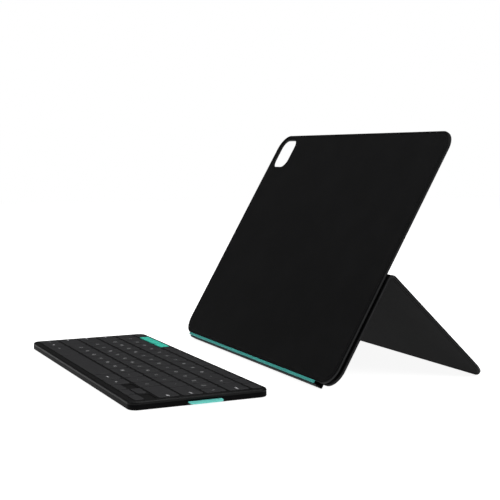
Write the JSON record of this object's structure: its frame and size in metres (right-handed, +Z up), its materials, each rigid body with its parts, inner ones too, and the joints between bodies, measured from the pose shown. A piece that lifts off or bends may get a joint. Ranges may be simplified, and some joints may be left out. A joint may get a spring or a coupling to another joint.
{
  "type": "tablet keyboard case",
  "caption": "Folding tablet stand cover with a camera cut-out, teal spine and fold-out kickstand flap, and a separate thin wireless keyboard with teal accent keys and pull tab.",
  "frame": {"origin": "on the desk under the middle of the whole set's bounding box", "axes": "+X right along the keyboard as the typist sees it, +Y away from the typist, +Z up"},
  "size_m": [0.286, 0.2944, 0.1945],
  "materials": {
    "board": "stiff laminated board",
    "black_lining": "fine black microfibre lining",
    "black_skin": "matt black soft-touch polyurethane with a fine grain",
    "sealed_edge": "smooth sealed edge, satin charcoal",
    "magnet": "nickel plated",
    "hinge_strip": "flexible strip",
    "teal_lining": "teal soft-touch lining",
    "case_plastic": "fine matt black moulded plastic",
    "black_key": "matt charcoal key cap",
    "teal_key": "matt teal key cap",
    "steel": "rolled",
    "membrane_film": "printed film",
    "silicone": "translucent silicone",
    "scissor_plastic": "natural moulded plastic",
    "circuit_board": "green solder mask",
    "contact_metal": "plated spring",
    "teal_tab": "teal soft moulded tab",
    "foot_rubber": "matt rubber"
  },
  "bodies": {
    "panel": {"panel_core": "board", "panel_front_lining": "black_lining", "panel_back_skin": "black_skin", "panel_edge": "sealed_edge", "camera_edge": "sealed_edge", "panel_magnets": "magnet", "spine_front_web": "teal_lining"},
    "spine": {"spine_core": "hinge_strip", "spine_lining": "teal_lining", "spine_skin": "black_skin"},
    "cover": {"cover_core": "board", "cover_lining": "black_lining", "cover_outer_skin": "black_skin", "cover_edge": "sealed_edge", "cover_magnets": "magnet", "spine_rear_web": "black_skin", "fold_strip": "hinge_strip", "fold_lining": "black_lining", "fold_outer_skin": "black_skin"},
    "flap": {"flap_core": "board", "flap_lining": "black_lining", "flap_outer_skin": "black_skin", "flap_edge": "sealed_edge", "flap_magnets": "magnet"},
    "keyboard": {"keyboard_lower_shell": "case_plastic", "keyboard_top_frame": "case_plastic", "key_support_plate": "steel", "key_membrane": "membrane_film", "key_domes": "silicone", "key_scissors": "scissor_plastic", "controller_board": "circuit_board", "battery_contacts": "contact_metal", "keyboard_magnets": "magnet", "keyboard_feet": "foot_rubber", "case_screws": "steel"},
    "battery_drawer": {"battery_drawer": "case_plastic", "coin_cells": "steel", "pull_tab": "teal_tab"},
    "device_key_1": {"device_key_1": "teal_key"},
    "device_key_2": {"device_key_2": "teal_key"},
    "device_key_3": {"device_key_3": "teal_key"},
    "function_keys": {"function_keys": "black_key"},
    "number_keys": {"number_keys": "black_key"},
    "backspace_key": {"backspace_key": "black_key"},
    "tab_key": {"tab_key": "black_key"},
    "upper_letter_keys": {"upper_letter_keys": "black_key"},
    "caps_lock_key": {"caps_lock_key": "black_key"},
    "home_letter_keys": {"home_letter_keys": "black_key"},
    "enter_key": {"enter_key": "black_key"},
    "left_shift_key": {"left_shift_key": "black_key"},
    "lower_letter_keys": {"lower_letter_keys": "black_key"},
    "right_shift_key": {"right_shift_key": "black_key"},
    "left_modifier_keys": {"left_modifier_keys": "black_key"},
    "space_bar": {"space_bar": "black_key"},
    "right_command_key": {"right_command_key": "black_key"},
    "right_modifier_key": {"right_modifier_key": "black_key"},
    "left_arrow_key": {"left_arrow_key": "black_key"},
    "up_arrow_key": {"up_arrow_key": "black_key"},
    "down_arrow_key": {"down_arrow_key": "black_key"},
    "right_arrow_key": {"right_arrow_key": "black_key"}
  },
  "joints": [
    {"name": "spine_front_fold", "type": "hinge", "parent": "panel", "child": "spine", "pos_m": [0, 0.00255, 0.00376], "axis": [-1, 0, 0], "range_deg": [0, 172]},
    {"name": "spine_rear_fold", "type": "hinge", "parent": "spine", "child": "cover", "pos_m": [0, 0.00792, 0.00066], "axis": [-1, 0, 0], "range_deg": [0, 173]},
    {"name": "kickstand_fold", "type": "hinge", "parent": "cover", "child": "flap", "pos_m": [0, 0.05694, 0.08477], "axis": [1, 0, 0], "range_deg": [-67, 103], "deforming": ["fold_strip", "fold_lining", "fold_outer_skin"]},
    {"name": "keyboard_slide", "type": "slide", "parent": "panel", "child": "keyboard", "axis": [0, -1, 0], "range_m": [0, 0.25]},
    {"name": "battery_drawer_slide", "type": "slide", "parent": "keyboard", "child": "battery_drawer", "axis": [1, 0, 0], "range_m": [0, 0.0574]},
    {"name": "device_key_1_press", "type": "slide", "parent": "keyboard", "child": "device_key_1", "axis": [0, 0, -1], "range_m": [0, 0.001], "stiffness_N_per_m": 350, "springref_m": -0.0008, "deforming": ["key_domes", "key_scissors"]},
    {"name": "device_key_2_press", "type": "slide", "parent": "keyboard", "child": "device_key_2", "axis": [0, 0, -1], "range_m": [0, 0.001], "stiffness_N_per_m": 350, "springref_m": -0.0008, "deforming": ["key_domes", "key_scissors"]},
    {"name": "device_key_3_press", "type": "slide", "parent": "keyboard", "child": "device_key_3", "axis": [0, 0, -1], "range_m": [0, 0.001], "stiffness_N_per_m": 350, "springref_m": -0.0008, "deforming": ["key_domes", "key_scissors"]},
    {"name": "function_keys_press", "type": "slide", "parent": "keyboard", "child": "function_keys", "axis": [0, 0, -1], "range_m": [0, 0.001], "stiffness_N_per_m": 3850, "springref_m": -0.0008, "deforming": ["key_domes", "key_scissors"]},
    {"name": "number_keys_press", "type": "slide", "parent": "keyboard", "child": "number_keys", "axis": [0, 0, -1], "range_m": [0, 0.001], "stiffness_N_per_m": 4550, "springref_m": -0.0008, "deforming": ["key_domes", "key_scissors"]},
    {"name": "backspace_key_press", "type": "slide", "parent": "keyboard", "child": "backspace_key", "axis": [0, 0, -1], "range_m": [0, 0.001], "stiffness_N_per_m": 350, "springref_m": -0.0008, "deforming": ["key_domes", "key_scissors"]},
    {"name": "tab_key_press", "type": "slide", "parent": "keyboard", "child": "tab_key", "axis": [0, 0, -1], "range_m": [0, 0.001], "stiffness_N_per_m": 350, "springref_m": -0.0008, "deforming": ["key_domes", "key_scissors"]},
    {"name": "upper_letter_keys_press", "type": "slide", "parent": "keyboard", "child": "upper_letter_keys", "axis": [0, 0, -1], "range_m": [0, 0.001], "stiffness_N_per_m": 4550, "springref_m": -0.0008, "deforming": ["key_domes", "key_scissors"]},
    {"name": "caps_lock_key_press", "type": "slide", "parent": "keyboard", "child": "caps_lock_key", "axis": [0, 0, -1], "range_m": [0, 0.001], "stiffness_N_per_m": 350, "springref_m": -0.0008, "deforming": ["key_domes", "key_scissors"]},
    {"name": "home_letter_keys_press", "type": "slide", "parent": "keyboard", "child": "home_letter_keys", "axis": [0, 0, -1], "range_m": [0, 0.001], "stiffness_N_per_m": 3850, "springref_m": -0.0008, "deforming": ["key_domes", "key_scissors"]},
    {"name": "enter_key_press", "type": "slide", "parent": "keyboard", "child": "enter_key", "axis": [0, 0, -1], "range_m": [0, 0.001], "stiffness_N_per_m": 350, "springref_m": -0.0008, "deforming": ["key_domes", "key_scissors"]},
    {"name": "left_shift_key_press", "type": "slide", "parent": "keyboard", "child": "left_shift_key", "axis": [0, 0, -1], "range_m": [0, 0.001], "stiffness_N_per_m": 350, "springref_m": -0.0008, "deforming": ["key_domes", "key_scissors"]},
    {"name": "lower_letter_keys_press", "type": "slide", "parent": "keyboard", "child": "lower_letter_keys", "axis": [0, 0, -1], "range_m": [0, 0.001], "stiffness_N_per_m": 3500, "springref_m": -0.0008, "deforming": ["key_domes", "key_scissors"]},
    {"name": "right_shift_key_press", "type": "slide", "parent": "keyboard", "child": "right_shift_key", "axis": [0, 0, -1], "range_m": [0, 0.001], "stiffness_N_per_m": 350, "springref_m": -0.0008, "deforming": ["key_domes", "key_scissors"]},
    {"name": "left_modifier_keys_press", "type": "slide", "parent": "keyboard", "child": "left_modifier_keys", "axis": [0, 0, -1], "range_m": [0, 0.001], "stiffness_N_per_m": 1400, "springref_m": -0.0008, "deforming": ["key_domes", "key_scissors"]},
    {"name": "space_bar_press", "type": "slide", "parent": "keyboard", "child": "space_bar", "axis": [0, 0, -1], "range_m": [0, 0.001], "stiffness_N_per_m": 350, "springref_m": -0.0008, "deforming": ["key_domes", "key_scissors"]},
    {"name": "right_command_key_press", "type": "slide", "parent": "keyboard", "child": "right_command_key", "axis": [0, 0, -1], "range_m": [0, 0.001], "stiffness_N_per_m": 350, "springref_m": -0.0008, "deforming": ["key_domes", "key_scissors"]},
    {"name": "right_modifier_key_press", "type": "slide", "parent": "keyboard", "child": "right_modifier_key", "axis": [0, 0, -1], "range_m": [0, 0.001], "stiffness_N_per_m": 350, "springref_m": -0.0008, "deforming": ["key_domes", "key_scissors"]},
    {"name": "left_arrow_key_press", "type": "slide", "parent": "keyboard", "child": "left_arrow_key", "axis": [0, 0, -1], "range_m": [0, 0.001], "stiffness_N_per_m": 350, "springref_m": -0.0008, "deforming": ["key_domes", "key_scissors"]},
    {"name": "up_arrow_key_press", "type": "slide", "parent": "keyboard", "child": "up_arrow_key", "axis": [0, 0, -1], "range_m": [0, 0.001], "stiffness_N_per_m": 350, "springref_m": -0.0008, "deforming": ["key_domes", "key_scissors"]},
    {"name": "down_arrow_key_press", "type": "slide", "parent": "keyboard", "child": "down_arrow_key", "axis": [0, 0, -1], "range_m": [0, 0.001], "stiffness_N_per_m": 350, "springref_m": -0.0008, "deforming": ["key_domes", "key_scissors"]},
    {"name": "right_arrow_key_press", "type": "slide", "parent": "keyboard", "child": "right_arrow_key", "axis": [0, 0, -1], "range_m": [0, 0.001], "stiffness_N_per_m": 350, "springref_m": -0.0008, "deforming": ["key_domes", "key_scissors"]}
  ]
}
